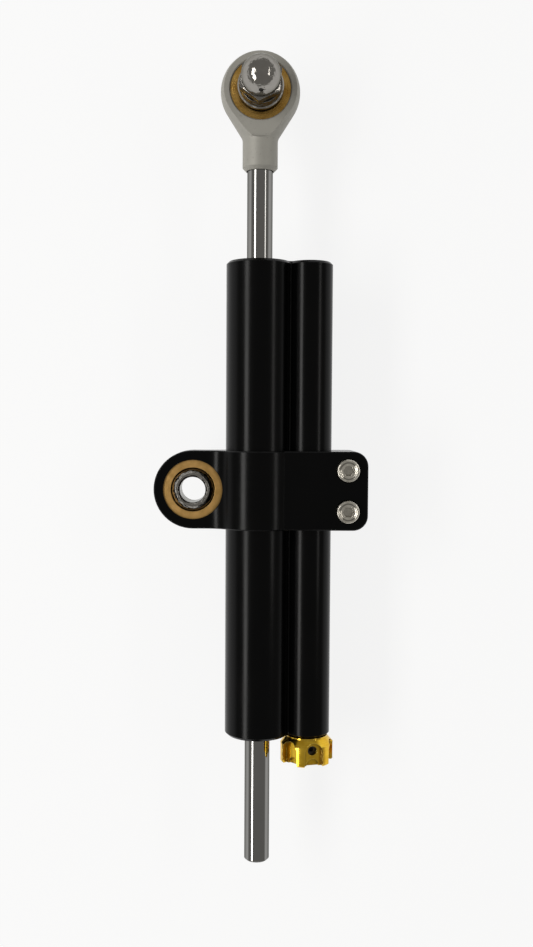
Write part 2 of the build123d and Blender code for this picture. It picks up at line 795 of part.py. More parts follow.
# Clamp: an ear for the bearing, a wrap round both lobes and a split jaw with two screws
blend_x = -math.sqrt(
    (wrap_radius + ear_blend_radius) ** 2 - (ear_half_width + ear_blend_radius) ** 2
)
blend_share = wrap_radius / (wrap_radius + ear_blend_radius)
blend_meet = (blend_x * blend_share, (ear_half_width + ear_blend_radius) * blend_share)
ear_left = -clamp_height / 2
screw_seat = jaw_half_width - counterbore_depth
with BuildPart() as clamp:
    with BuildSketch(across(clamp_height / 2)):
        with BuildLine():
            for side in (-1, 1):
                Line((ear_left, side * ear_half_width), (rod_x + blend_x, side * ear_half_width))
                TangentArc(
                    (rod_x + blend_x, side * ear_half_width),
                    (rod_x + blend_meet[0], side * blend_meet[1]),
                    tangent=(1, 0),
                )
                Line((rod_x + blend_meet[0], side * blend_meet[1]), (rod_x, 0))
            Line((ear_left, -ear_half_width), (ear_left, ear_half_width))
        make_face()
        with Locations((rod_x, 0)):
            Circle(wrap_radius)
        with Locations((rod_x + clamp_right / 2, 0)):
            Rectangle(clamp_right, 2 * jaw_half_width)
    extrude(amount=clamp_height)
    # The outline seen from the front: a full round at the ear and rounded corners at the jaw
    with BuildSketch(Plane.XY.offset(-wrap_radius - overrun)):
        Circle(clamp_height / 2)
        with Locations(((rod_x + clamp_right) / 2, 0)):
            jaw_plan = Rectangle(rod_x + clamp_right, clamp_height)
        fillet(jaw_plan.vertices().group_by(Axis.X)[-1], radius=jaw_corner_radius)
    extrude(amount=2 * (wrap_radius + overrun), mode=Mode.INTERSECT)
    rims = clamp.faces().filter_by(Axis.Z).edges().filter_by(lambda e: abs(e.center().Z) > fit_gap)
    outer_rims = rims.filter_by(lambda e: e.center().X < rod_x + blend_x or e.center().X > valve_x)
    chamfer(outer_rims, length=clamp_chamfer)
    # The bore for the body, the split of the jaw and the bearing's seat
    with BuildSketch(across(clamp_height / 2 + overrun)) as bore_section:
        lobe_outline(fit_gap)
        fillet(valley_corners(bore_section), radius=valley_radius)
        with Locations((valve_x + clamp_right / 2, 0)):
            Rectangle(clamp_right, jaw_slot)
    extrude(amount=clamp_height + 2 * overrun, mode=Mode.SUBTRACT)
    with BuildSketch(Plane.XY.offset(-wrap_radius - overrun)):
        Circle(race_radius)
    extrude(amount=2 * (wrap_radius + overrun), mode=Mode.SUBTRACT)
    # The screws' holes: counterbored and clear in the front jaw, tapped in the back jaw
    screw_places = [
        (rod_x + screw_x, side * screw_spacing / 2) for side in (-1, 1)
    ]
    with BuildSketch(Plane.XY.offset(screw_seat)):
        with Locations(*screw_places):
            Circle(screw_head_radius + counterbore_gap)
    extrude(amount=counterbore_depth + overrun, mode=Mode.SUBTRACT)
    with BuildSketch(Plane.XY):
        with Locations(*screw_places):
            Circle(screw_radius + screw_hole_gap)
    extrude(amount=jaw_half_width, mode=Mode.SUBTRACT)
    with BuildSketch(Plane.XY.offset(-jaw_half_width - overrun)):
        with Locations(*screw_places):
            Circle(screw_radius + fit_gap)
    extrude(amount=jaw_half_width + overrun, mode=Mode.SUBTRACT)
clamp.part.label = "clamp"
export_step(clamp.part, "parts/clamp.step")


# Clamp screws: two socket head cap screws
with BuildPart() as clamp_screws:
    with BuildSketch(Plane.XY.offset(screw_seat)):
        with Locations(*screw_places):
            Circle(screw_head_radius)
    extrude(amount=screw_head_height)
    head_rims = clamp_screws.edges().filter_by(GeomType.CIRCLE).group_by(Axis.Z)[-1]
    fillet(head_rims, radius=screw_head_chamfer)
    with BuildSketch(Plane.XY.offset(screw_seat)):
        with Locations(*screw_places):
            Circle(screw_radius)
    extrude(amount=-screw_length)
    shank_ends = clamp_screws.edges().filter_by(GeomType.CIRCLE).group_by(Axis.Z)[0]
    chamfer(shank_ends, length=screw_head_chamfer)
    with BuildSketch(Plane.XY.offset(screw_seat + screw_head_height)):
        with Locations(*screw_places):
            RegularPolygon(radius=screw_socket_flats / math.sqrt(3), side_count=6)
    extrude(amount=-screw_socket_depth, mode=Mode.SUBTRACT)
clamp_screws.part.label = "clamp_screws"
export_step(clamp_screws.part, "parts/clamp_screws.step")


# Places along Y in the adjuster valve
annulus_mid = chamber_bottom + port_inset
valve_top = annulus_mid + valve_head_length
seat_low = valve_top - valve_seat_thickness
step_y = body_bottom + spindle_step_share * (seat_low - body_bottom)
needle_length = needle_share * (seat_low - step_y)
spindle_thread_length = spindle_thread_share * (seat_low - step_y)
annulus_low = annulus_mid - valve_annulus_width / 2
annulus_high = annulus_mid + valve_annulus_width / 2
valve_outer = small_bore_radius - fit_gap
valve_groove_floor = valve_outer - valve_oring_section
valve_groove_width = valve_oring_section + 2 * fit_gap
upper_groove = annulus_high + valve_groove_width / 2
lower_groove = annulus_low - 3 * valve_groove_width / 2
spindle_bore = spindle_radius + running_gap
hex_bore_radius = needle_flats / math.sqrt(3)

# Valve body: the cartridge in the small bore that carries the needle, the seat and the spindle
with BuildPart() as valve_body:
    with BuildSketch(valve_plane):
        with BuildLine():
            Polyline(
                (spindle_bore, body_bottom),
                (valve_outer, body_bottom),
                (valve_outer, lower_groove),
                (valve_groove_floor, lower_groove),
                (valve_groove_floor, lower_groove + valve_groove_width),
                (valve_outer, lower_groove + valve_groove_width),
                (valve_outer, annulus_low),
                (valve_outer - valve_annulus_depth, annulus_low),
                (valve_outer - valve_annulus_depth, annulus_high),
                (valve_outer, annulus_high),
                (valve_outer, upper_groove),
                (valve_groove_floor, upper_groove),
                (valve_groove_floor, upper_groove + valve_groove_width),
                (valve_outer, upper_groove + valve_groove_width),
                (valve_outer, valve_top),
                (valve_seat_radius, valve_top),
                (valve_seat_radius, seat_low),
                (spindle_bore, seat_low),
                close=True,
            )
        make_face()
    revolve(axis=valve_axis)
    with BuildSketch(across(seat_low)):
        with Locations((valve_x, 0)):
            RegularPolygon(radius=hex_bore_radius, side_count=6)
    extrude(amount=seat_low - step_y, mode=Mode.SUBTRACT)
    # Radial holes from the annulus into the needle's chamber
    hole_angles = [math.tau * k / annulus_hole_count for k in range(annulus_hole_count)]
    hole_planes = [
        Plane(
            origin=(valve_x, annulus_mid, 0),
            x_dir=(0, 1, 0),
            z_dir=(math.cos(angle), 0, math.sin(angle)),
        )
        for angle in hole_angles
    ]
    with BuildSketch(*hole_planes):
        Circle(annulus_hole_radius)
    extrude(amount=small_bore_radius + overrun, mode=Mode.SUBTRACT)
    # Blind pocket for the detent's spring and ball
    with BuildSketch(across(body_bottom)):
        with Locations((valve_x, detent_pitch_radius)):
            Circle(detent_ball_radius + detent_pocket_gap)
    extrude(amount=-detent_turns * detent_coil_pitch - detent_ball_radius * 2, mode=Mode.SUBTRACT)
valve_body.part.label = "valve_body"
export_step(valve_body.part, "parts/valve_body.step")


# Valve O-rings: one on each side of the annulus
with BuildPart() as valve_orings:
    for groove_y in (lower_groove, upper_groove):
        with BuildSketch(valve_plane):
            with Locations(
                (valve_outer - valve_oring_section / 2, groove_y + valve_groove_width / 2)
            ):
                Circle(valve_oring_section / 2 - fit_gap)
        revolve(axis=valve_axis)
valve_orings.part.label = "valve_orings"
export_step(valve_orings.part, "parts/valve_orings.step")


# Valve seat: the ring that the needle closes on
with BuildPart() as valve_seat:
    with BuildSketch(across(valve_top)):
        with Locations((valve_x, 0)):
            Circle(valve_seat_radius - fit_gap)
            Circle(seat_hole_radius, mode=Mode.SUBTRACT)
    extrude(amount=valve_seat_thickness)
valve_seat.part.label = "valve_seat"
export_step(valve_seat.part, "parts/valve_seat.step")


# Metering needle: a hexagonal slider with a tapered tip, screwed on the spindle
needle_tip_slope = (needle_tip_radius - needle_point_radius) / needle_tip_length
needle_touch = (seat_hole_radius - needle_point_radius) / needle_tip_slope
needle_point = seat_low + needle_touch - needle_rest_lift
needle_shoulder = needle_point - needle_tip_length
needle_back = needle_shoulder - needle_length
with BuildPart() as metering_needle:
    with BuildSketch(across(needle_shoulder)):
        with Locations((valve_x, 0)):
            RegularPolygon(radius=hex_bore_radius - running_gap, side_count=6)
    extrude(amount=needle_length)
    with BuildSketch(valve_plane):
        with BuildLine():
            Polyline(
                (0, needle_shoulder),
                (needle_tip_radius, needle_shoulder),
                (needle_point_radius, needle_point),
                (0, needle_point),
                close=True,
            )
        make_face()
    revolve(axis=valve_axis)
    with BuildSketch(across(needle_back)):
        with Locations((valve_x, 0)):
            Circle(spindle_thread_radius + running_gap)
    extrude(amount=-(needle_length - needle_tip_radius), mode=Mode.SUBTRACT)
metering_needle.part.label = "metering_needle"
export_step(metering_needle.part, "parts/metering_needle.step")


# Adjuster spindle: turns with the knob, held between the step in the valve body and the knob
knob_top = body_bottom - stop_gap
knob_bottom = knob_top - knob_height
spindle_end = knob_bottom + knob_recess_depth
flange_low = step_y + end_play
flange_high = flange_low + spindle_flange_thickness
spindle_groove = (body_bottom + step_y) / 2
spindle_groove_half = spindle_oring_section / 2 + fit_gap
spindle_groove_floor = spindle_radius - spindle_oring_section
with BuildPart() as adjuster_spindle:
    with BuildSketch(valve_plane):
        with BuildLine():
            Polyline(
                (0, spindle_end),
                (spindle_radius, spindle_end),
                (spindle_radius, spindle_groove - spindle_groove_half),
                (spindle_groove_floor, spindle_groove - spindle_groove_half),
                (spindle_groove_floor, spindle_groove + spindle_groove_half),
                (spindle_radius, spindle_groove + spindle_groove_half),
                (spindle_radius, flange_low),
                (spindle_flange_radius, flange_low),
                (spindle_flange_radius, flange_high),
                (spindle_thread_radius, flange_high),
                (spindle_thread_radius, flange_high + spindle_thread_length),
                (0, flange_high + spindle_thread_length),
                close=True,
            )
        make_face()
    revolve(axis=valve_axis)
    # Driver slot in the end that shows in the knob
    with BuildSketch(across(spindle_end + spindle_slot_depth)):
        with Locations((valve_x, 0)):
            Rectangle(2 * (spindle_radius + overrun), spindle_slot_width)
    extrude(amount=spindle_slot_depth + overrun, mode=Mode.SUBTRACT)
adjuster_spindle.part.label = "adjuster_spindle"
export_step(adjuster_spindle.part, "parts/adjuster_spindle.step")


# Spindle O-ring
with BuildPart() as spindle_oring:
    with BuildSketch(valve_plane):
        with Locations((spindle_radius - spindle_oring_section / 2 + fit_gap, spindle_groove)):
            Circle(spindle_oring_section / 2 - fit_gap / 2)
    revolve(axis=valve_axis)
spindle_oring.part.label = "spindle_oring"
export_step(spindle_oring.part, "parts/spindle_oring.step")


# Knob: a turned cap with six open slots, fixed on the spindle by a grub screw
def slot_plane(k):
    """The plane of the floor of slot k, with its x along -Y and its normal outwards."""
    angle = math.radians(knob_slot_angle) + math.tau * k / knob_slot_count
    outward = (math.sin(angle), 0, math.cos(angle))
    return Plane(
        origin=(
            valve_x + knob_slot_floor * outward[0],
            knob_top,
            knob_slot_floor * outward[2],
        ),
        x_dir=(0, -1, 0),
        z_dir=outward,
    )


cone_low = knob_neck_height + knob_cone_height
slot_spring = knob_slot_apex + knob_slot_radius
grub_plane = slot_plane(0)
with BuildPart() as adjuster_knob:
    with BuildSketch(valve_plane):
        with BuildLine():
            Polyline(
                (spindle_radius + fit_gap, knob_top),
                (knob_neck_radius, knob_top),
                (knob_neck_radius, knob_top - knob_neck_height),
                (knob_radius, knob_top - cone_low),
                (knob_radius, knob_bottom + knob_edge),
                (knob_radius - knob_edge, knob_bottom),
                (knob_recess_radius, knob_bottom),
                (knob_recess_radius, knob_bottom + knob_recess_depth),
                (spindle_radius + fit_gap, knob_bottom + knob_recess_depth),
                close=True,
            )
        make_face()
    revolve(axis=valve_axis)
    # Slots: round-ended at the top, open at the bottom, with flat floors
    with BuildSketch(*[slot_plane(k) for k in range(knob_slot_count)]):
        with Locations((slot_spring, 0)):
            Circle(knob_slot_radius)
        with Locations((slot_spring + knob_height / 2, 0)):
            Rectangle(knob_height, 2 * knob_slot_radius)
    extrude(amount=knob_radius, mode=Mode.SUBTRACT)
    # A round notch at the open end of each slot, cut deeper than its floor
    with BuildSketch(*[slot_plane(k).offset(-knob_notch_depth) for k in range(knob_slot_count)]):
        with Locations((knob_height - knob_notch_rise, 0)):
            Circle(knob_notch_radius)
    extrude(amount=knob_radius, mode=Mode.SUBTRACT)
    # Tapped hole for the grub screw, in the slot that faces the front
    with BuildSketch(grub_plane):
        with Locations((grub_depth, 0)):
            Circle(grub_radius)
    extrude(amount=-knob_slot_floor, mode=Mode.SUBTRACT)
    # Ring groove that the detent ball runs in, and its notches
    with BuildSketch(valve_plane):
        with Locations((detent_pitch_radius, knob_top)):
            Rectangle(
                2 * detent_groove_radius, 2 * (detent_proud - stop_gap + running_gap)
            )
    revolve(axis=valve_axis, mode=Mode.SUBTRACT)
    notch_floor = body_bottom - detent_proud - running_gap
    with BuildSketch(across(notch_floor)):
        with Locations((valve_x, 0)):
            with PolarLocations(detent_pitch_radius, detent_notch_count, start_angle=90):
                Circle(detent_notch_depth)
    extrude(amount=detent_notch_depth, mode=Mode.SUBTRACT)
adjuster_knob.part.label = "adjuster_knob"
export_step(adjuster_knob.part, "parts/adjuster_knob.step")


# Knob grub screw: a socket set screw against the spindle
with BuildPart() as knob_grub_screw:
    with BuildSketch(grub_plane.offset(spindle_radius + fit_gap - knob_slot_floor)):
        with Locations((grub_depth, 0)):
            Circle(grub_radius - fit_gap)
    extrude(amount=grub_length)
    with BuildSketch(grub_plane.offset(spindle_radius + fit_gap - knob_slot_floor + grub_length)):
        with Locations((grub_depth, 0)):
            RegularPolygon(radius=grub_socket_flats / math.sqrt(3), side_count=6)
    extrude(amount=-grub_socket_depth, mode=Mode.SUBTRACT)
knob_grub_screw.part.label = "knob_grub_screw"
export_step(knob_grub_screw.part, "parts/knob_grub_screw.step")


# Detent ball: sits in the valve body's pocket and runs in the knob's ring groove
detent_y = body_bottom - detent_proud + detent_ball_radius
with BuildPart() as detent_ball:
    with BuildSketch(Plane(origin=(valve_x, detent_y, detent_pitch_radius), z_dir=(0, 0, 1))):
        Circle(detent_ball_radius)
        with Locations((-detent_ball_radius, 0)):
            Rectangle(2 * detent_ball_radius, 4 * detent_ball_radius, mode=Mode.SUBTRACT)
    revolve(axis=Axis((valve_x, detent_y, detent_pitch_radius), (0, 1, 0)))
detent_ball.part.label = "detent_ball"
export_step(detent_ball.part, "parts/detent_ball.step")


# Volume compensator: a floating piston, its spring and the plug that closes the bore
plug_high = body_top - plug_inset
plug_low = plug_high - plug_length
floating_low = floating_piston_centre - floating_piston_length / 2
floating_high = floating_piston_centre + floating_piston_length / 2
plain_outer = small_bore_radius - running_gap
plug_outer = small_bore_radius - fit_gap
groove_half = floating_oring_section / 2 + fit_gap

# Floating piston
with BuildPart() as floating_piston:
    with BuildSketch(valve_plane):
        with BuildLine():
            Polyline(
                (0, floating_low),
                (plain_outer, floating_low),
                (plain_outer, floating_piston_centre - groove_half),
                (plain_outer - floating_oring_section, floating_piston_centre - groove_half),
                (plain_outer - floating_oring_section, floating_piston_centre + groove_half),
                (plain_outer, floating_piston_centre + groove_half),
                (plain_outer, floating_high),
                (0, floating_high),
                close=True,
            )
        make_face()
    revolve(axis=valve_axis)
floating_piston.part.label = "floating_piston"
export_step(floating_piston.part, "parts/floating_piston.step")

# Floating piston's O-ring
with BuildPart() as floating_oring:
    with BuildSketch(valve_plane):
        with Locations((plain_outer - floating_oring_section / 2 + fit_gap, floating_piston_centre)):
            Circle(floating_oring_section / 2 - fit_gap / 2)
    revolve(axis=valve_axis)
floating_oring.part.label = "floating_oring"
export_step(floating_oring.part, "parts/floating_oring.step")

# Compensator plug: closes the small bore at the top
plug_groove = plug_low + plug_length / 3
with BuildPart() as compensator_plug:
    with BuildSketch(valve_plane):
        with BuildLine():
            Polyline(
                (0, plug_low),
                (plug_outer, plug_low),
                (plug_outer, plug_groove - groove_half),
                (plug_outer - floating_oring_section, plug_groove - groove_half),
                (plug_outer - floating_oring_section, plug_groove + groove_half),
                (plug_outer, plug_groove + groove_half),
                (plug_outer, plug_high - guide_chamfer),
                (plug_outer - guide_chamfer, plug_high),
                (0, plug_high),
                close=True,
            )
        make_face()
    revolve(axis=valve_axis)
    with BuildSketch(across(plug_high)):
        with Locations((valve_x, 0)):
            RegularPolygon(radius=plug_socket_flats / math.sqrt(3), side_count=6)
    extrude(amount=plug_socket_depth, mode=Mode.SUBTRACT)
compensator_plug.part.label = "compensator_plug"
export_step(compensator_plug.part, "parts/compensator_plug.step")

# Compensator plug's O-ring
with BuildPart() as plug_oring:
    with BuildSketch(valve_plane):
        with Locations((plug_outer - floating_oring_section / 2, plug_groove)):
            Circle(floating_oring_section / 2 - fit_gap)
    revolve(axis=valve_axis)
plug_oring.part.label = "plug_oring"
export_step(plug_oring.part, "parts/plug_oring.step")


# Springs: both are open coils of round wire, wound about lines parallel to +Y
def coil(x, start_y, mean_radius, pitch, turns, wire):
    """A coil spring's wire, swept along its centre line."""
    with BuildPart() as spring:
        with BuildLine():
            coil_path(x, start_y, mean_radius, pitch, turns)
        with BuildSketch(
            Plane(
                origin=(x + mean_radius, start_y, 0),
                z_dir=(0, pitch / math.tau, mean_radius),
            )
        ):
            Circle(wire / 2)
        sweep()
    return spring


compensator_space = plug_low - floating_high
compensator_pitch = (compensator_space - compensator_wire - 2 * running_gap) / compensator_turns
compensator_spring = coil(
    valve_x,
    floating_high + running_gap + compensator_wire / 2,
    compensator_coil_radius,
    compensator_pitch,
    compensator_turns,
    compensator_wire,
)
compensator_spring.part.label = "compensator_spring"
export_step(compensator_spring.part, "parts/compensator_spring.step")
print(
    "compensator spring, least gap between turns:",
    round(
        coil_gap(compensator_coil_radius, compensator_pitch, compensator_turns, compensator_wire), 2
    ),
)

detent_spring = coil(
    valve_x,
    detent_y + detent_ball_radius + detent_wire,
    detent_coil_radius,
    detent_coil_pitch,
    detent_turns,
    detent_wire,
)
detent_spring.part.position += (0, 0, detent_pitch_radius)
detent_spring.part.label = "detent_spring"
export_step(detent_spring.part, "parts/detent_spring.step")
print(
    "detent spring, least gap between turns:",
    round(coil_gap(detent_coil_radius, detent_coil_pitch, detent_turns, detent_wire), 2),
)
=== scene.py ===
import math

import bmesh
import bpy
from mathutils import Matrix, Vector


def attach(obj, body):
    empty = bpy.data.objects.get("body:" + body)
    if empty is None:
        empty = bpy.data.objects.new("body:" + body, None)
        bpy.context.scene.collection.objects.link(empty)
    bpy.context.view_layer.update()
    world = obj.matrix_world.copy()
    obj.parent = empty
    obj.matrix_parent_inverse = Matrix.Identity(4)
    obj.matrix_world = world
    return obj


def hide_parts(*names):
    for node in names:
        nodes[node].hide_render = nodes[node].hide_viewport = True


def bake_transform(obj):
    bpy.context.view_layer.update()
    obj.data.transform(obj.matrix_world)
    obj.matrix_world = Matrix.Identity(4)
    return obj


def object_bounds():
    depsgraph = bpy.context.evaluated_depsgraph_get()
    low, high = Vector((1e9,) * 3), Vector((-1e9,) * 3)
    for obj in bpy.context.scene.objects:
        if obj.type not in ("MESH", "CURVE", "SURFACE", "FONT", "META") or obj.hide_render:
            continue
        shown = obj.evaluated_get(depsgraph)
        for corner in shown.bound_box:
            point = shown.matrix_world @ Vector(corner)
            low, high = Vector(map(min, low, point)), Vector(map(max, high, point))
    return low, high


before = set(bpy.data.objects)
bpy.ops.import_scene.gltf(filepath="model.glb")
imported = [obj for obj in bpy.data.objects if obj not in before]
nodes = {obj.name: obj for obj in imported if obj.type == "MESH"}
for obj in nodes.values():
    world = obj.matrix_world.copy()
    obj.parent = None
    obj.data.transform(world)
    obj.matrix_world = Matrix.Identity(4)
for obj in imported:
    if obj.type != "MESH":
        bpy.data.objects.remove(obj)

cad_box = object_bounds()

MM = 0.001

# Places in the part's frame, in millimetres
ROD_X = 20.6
VALVE_X = 36.5
EYE_Y = 123.6
SCREW_X = 48.2
SCREW_Y = 6.35

# Camera, solved from the photograph's measured points
FRAME_HEIGHT_PX = 947
FOCAL_PX = 1056.9
SENSOR_MM = 36.0
CAMERA_CLIP = 0.01
CAMERA_PLACE = (17.80, 22.47, 335.05)
CAMERA_TURN = (-3.0082, -0.8952, 0.3270)

# Room colours, from the horizon up to the zenith, and the heights where they blend
HORIZON = (0.86, 0.86, 0.85)
ZENITH = (0.300, 0.295, 0.283)
HORIZON_TOP = 0.04
ZENITH_START = 0.20

# Lamps: lean and width in degrees, length and place along the rod in metres, radiance and colour
LAMP_DISTANCE = 0.9
LAMPS = {
    "lamp_left": (-44, 12, 1.05, 0.0, 8.0, (1.0, 0.99, 0.97)),
    "lamp_right": (50, 7, 0.75, 0.21, 4.0, (1.0, 0.98, 0.95)),
}


class Nodes:
    """Builds one material's node tree with short calls."""

    def __init__(self, name, **shader):
        self.material = bpy.data.materials.new(name)
        self.material.use_nodes = True
        self.tree = self.material.node_tree
        self.tree.nodes.clear()
        self.output = self.add("ShaderNodeOutputMaterial")
        self.shader = self.add("ShaderNodeBsdfPrincipled")
        self.join(self.shader.outputs[0], self.output.inputs["Surface"])
        for socket, value in shader.items():
            self.shader.inputs[socket.replace("_", " ")].default_value = value
        self.place = self.add("ShaderNodeTexCoord").outputs["Object"]

    def add(self, kind, **settings):
        node = self.tree.nodes.new(kind)
        for key, value in settings.items():
            setattr(node, key, value)
        return node

    def join(self, source, target):
        self.tree.links.new(source, target)

    def feed(self, value, socket):
        if isinstance(value, bpy.types.NodeSocket):
            self.join(value, socket)
        else:
            socket.default_value = value

    def scaled(self, factors, shift=(0, 0, 0)):
        """The object's own coordinates, moved by shift and stretched by factors."""
        moved = self.add("ShaderNodeVectorMath", operation="SUBTRACT")
        self.join(self.place, moved.inputs[0])
        moved.inputs[1].default_value = shift
        stretched = self.add("ShaderNodeVectorMath", operation="MULTIPLY")
        self.join(moved.outputs[0], stretched.inputs[0])
        stretched.inputs[1].default_value = factors
        return stretched.outputs[0]

    def ring(self, centre, axis, step, along=0.0):
        """A coordinate that changes with the distance from an axis, for turned faces."""
        moved = self.add("ShaderNodeVectorMath", operation="SUBTRACT")
        self.join(self.place, moved.inputs[0])
        moved.inputs[1].default_value = centre
        flat = self.add("ShaderNodeVectorMath", operation="MULTIPLY")
        self.join(moved.outputs[0], flat.inputs[0])
        flat.inputs[1].default_value = [0 if i == axis else 1 for i in range(3)]
        length = self.add("ShaderNodeVectorMath", operation="LENGTH")
        self.join(flat.outputs[0], length.inputs[0])
        split = self.add("ShaderNodeSeparateXYZ")
        self.join(moved.outputs[0], split.inputs[0])
        height = self.math("MULTIPLY", split.outputs[axis], along)
        radius = self.math("MULTIPLY", length.outputs["Value"], 1 / step)
        both = self.add("ShaderNodeCombineXYZ")
        self.join(radius, both.inputs[0])
        self.join(height, both.inputs[1])
        return both.outputs[0]

    def math(self, operation, a, b=0.0, clamp=False):
        node = self.add("ShaderNodeMath", operation=operation, use_clamp=clamp)
        self.feed(a, node.inputs[0])
        self.feed(b, node.inputs[1])
        return node.outputs[0]

    def noise(self, vector, scale=1.0, detail=3.0, roughness=0.55):
        node = self.add("ShaderNodeTexNoise")
        self.join(vector, node.inputs["Vector"])
        node.inputs["Scale"].default_value = scale
        node.inputs["Detail"].default_value = detail
        node.inputs["Roughness"].default_value = roughness
        return node.outputs["Fac"]

    def range(self, value, low, high, to_low=0.0, to_high=1.0):
        node = self.add("ShaderNodeMapRange")
        self.join(value, node.inputs["Value"])
        node.inputs["From Min"].default_value = low
        node.inputs["From Max"].default_value = high
        node.inputs["To Min"].default_value = to_low
        node.inputs["To Max"].default_value = to_high
        return node.outputs["Result"]

    def blend(self, factor, first, second):
        node = self.add("ShaderNodeMix", data_type="RGBA")
        self.feed(factor, node.inputs["Factor"])
        sockets = [s for s in node.inputs if s.type == "RGBA"]
        for value, socket in zip((first, second), sockets):
            if isinstance(value, bpy.types.NodeSocket):
                self.join(value, socket)
            else:
                socket.default_value = (*value, 1.0)
        return [s for s in node.outputs if s.type == "RGBA"][0]

    def edge(self, radius, sharpness=1.0):
        """1 along sharp edges and 0 on open faces, from how far the rounded normal leans."""
        rounded = self.add("ShaderNodeBevel", samples=6)
        rounded.inputs["Radius"].default_value = radius
        true = self.add("ShaderNodeNewGeometry").outputs["Normal"]
        dot = self.add("ShaderNodeVectorMath", operation="DOT_PRODUCT")
        self.join(rounded.outputs[0], dot.inputs[0])
        self.join(true, dot.inputs[1])
        lean = self.math("SUBTRACT", 1.0, dot.outputs["Value"], clamp=True)
        return self.math("MULTIPLY", lean, 6.0 * sharpness, clamp=True)

    def bump(self, height, distance, strength=1.0, base=None):
        node = self.add("ShaderNodeBump")
        node.inputs["Strength"].default_value = strength
        node.inputs["Distance"].default_value = distance
        self.join(height, node.inputs["Height"])
        if base is not None:
            self.join(base, node.inputs["Normal"])
        return node.outputs["Normal"]

    def crevice_shade(self, distance, deepest=0.25):
        """Painted shade: 1 on open faces, falling to deepest in recesses and along gaps, for
        darkening colour there.
        """
        node = self.add("ShaderNodeAmbientOcclusion", samples=8)
        node.inputs["Distance"].default_value = distance
        return self.range(node.outputs["AO"], 0.25, 0.95, deepest, 1.0)

    def dimmed(self, color, factor):
        """A colour multiplied by a factor."""
        node = self.add("ShaderNodeVectorMath", operation="SCALE")
        self.feed(color, node.inputs[0])
        self.join(factor, node.inputs["Scale"])
        return node.outputs[0]

    def rounded(self, radius):
        node = self.add("ShaderNodeBevel", samples=6)
        node.inputs["Radius"].default_value = radius
        return node.outputs[0]

    def finish(self, color=None, roughness=None, normal=None):
        for value, socket in ((color, "Base Color"), (roughness, "Roughness"), (normal, "Normal")):
            if value is not None:
                self.feed(value, self.shader.inputs[socket])
        return self.material


def black_anodised(name, draw_lines):
    """Satin black anodising: faint mottling, a fine blasted grain and worn edges."""
    n = Nodes(name, Metallic=0.0, IOR=1.5, Specular_IOR_Level=0.11)
    mottle = n.noise(n.scaled((90, 60, 90)), detail=4)
    grain = n.noise(n.scaled((4200, 4200, 4200)), detail=2)
    patches = n.range(n.noise(n.scaled((500, 500, 500))), 0.35, 0.7)
    edge_wear_and_glint = n.math("MULTIPLY", n.edge(0.00022), patches)
    base = n.blend(mottle, (0.0004, 0.0006, 0.0007), (0.0015, 0.0014, 0.0015))
    color = n.blend(edge_wear_and_glint, base, (0.016, 0.016, 0.017))
    lines = n.noise(n.scaled(draw_lines), detail=2)
    rough = n.math(
        "ADD",
        n.range(mottle, 0.3, 0.7, 0.18, 0.23),
        n.range(lines, 0.3, 0.7, -0.02, 0.03),
    )
    fine = n.bump(grain, 0.000004, 0.5, n.rounded(0.00012))
    normal = n.bump(lines, 0.000004, 0.5, fine)
    return n.finish(color, rough, normal)


def ground_chrome(name):
    """Hard chrome on a ground rod: grinding marks round the rod and a few long scratches."""
    n = Nodes(name, Metallic=1.0, Specular_Tint=(0.30, 0.30, 0.29, 1))
    rings = n.noise(n.scaled((60, 14000, 60)), detail=2)
    smear = n.noise(n.scaled((260, 70, 260)), detail=3)
    scratch = n.range(n.noise(n.scaled((5200, 60, 5200)), detail=1), 0.70, 0.78)
    color = n.blend(smear, (0.25, 0.247, 0.238), (0.295, 0.291, 0.282))
    ground = n.range(rings, 0.3, 0.7, 0.045, 0.085)
    rough = n.math("ADD", ground, n.math("MULTIPLY", scratch, 0.10))
    normal = n.bump(rings, 0.0000012, 0.4, n.rounded(0.0001))
    return n.finish(color, rough, normal)


def bright_chrome(name):
    """Polished plating with faint handling marks."""
    n = Nodes(name, Metallic=1.0, Specular_Tint=(0.45, 0.45, 0.43, 1))
    smear = n.noise(n.scaled((420, 420, 420)), detail=4)
    spots = n.range(n.noise(n.scaled((1800, 1800, 1800)), detail=2), 0.62, 0.75)
    plate = n.blend(smear, (0.27, 0.255, 0.235), (0.36, 0.345, 0.320))
    # Painted shade: the plating's colour is darkened in recesses and gaps.
    color = n.dimmed(plate, n.crevice_shade(0.004, 0.12))
    polish = n.range(smear, 0.3, 0.7, 0.05, 0.11)
    rough = n.math("ADD", polish, n.math("MULTIPLY", spots, 0.12))
    wave = n.noise(n.scaled((420, 420, 420)), detail=2)
    normal = n.bump(wave, 0.0004, 0.8, n.rounded(0.00018))
    return n.finish(color, rough, normal)


def blasted_aluminium(name):
    """Bead blasted, clear anodised aluminium in a warm grey."""
    n = Nodes(name, Metallic=0.35)
    cloud = n.noise(n.scaled((110, 110, 110)), detail=4)
    grain = n.noise(n.scaled((5200, 5200, 5200)), detail=3)
    scuff = n.range(n.noise(n.scaled((700, 900, 700)), detail=5), 0.60, 0.72)
    edge = n.edge(0.0003)
    base = n.blend(cloud, (0.335, 0.325, 0.292), (0.415, 0.402, 0.362))
    scuffed = n.blend(n.math("MULTIPLY", scuff, 0.35), base, (0.17, 0.16, 0.14))
    edge_worn_and_lit = n.blend(n.math("MULTIPLY", edge, 0.6), scuffed, (0.42, 0.405, 0.37))
    # Painted shade: the colour is darkened in recesses and gaps.
    color = n.dimmed(edge_worn_and_lit, n.crevice_shade(0.0012, 0.35))
    rough = n.range(grain, 0.3, 0.7, 0.52, 0.66)
    normal = n.bump(grain, 0.00001, 0.5, n.rounded(0.0002))
    return n.finish(color, rough, normal)


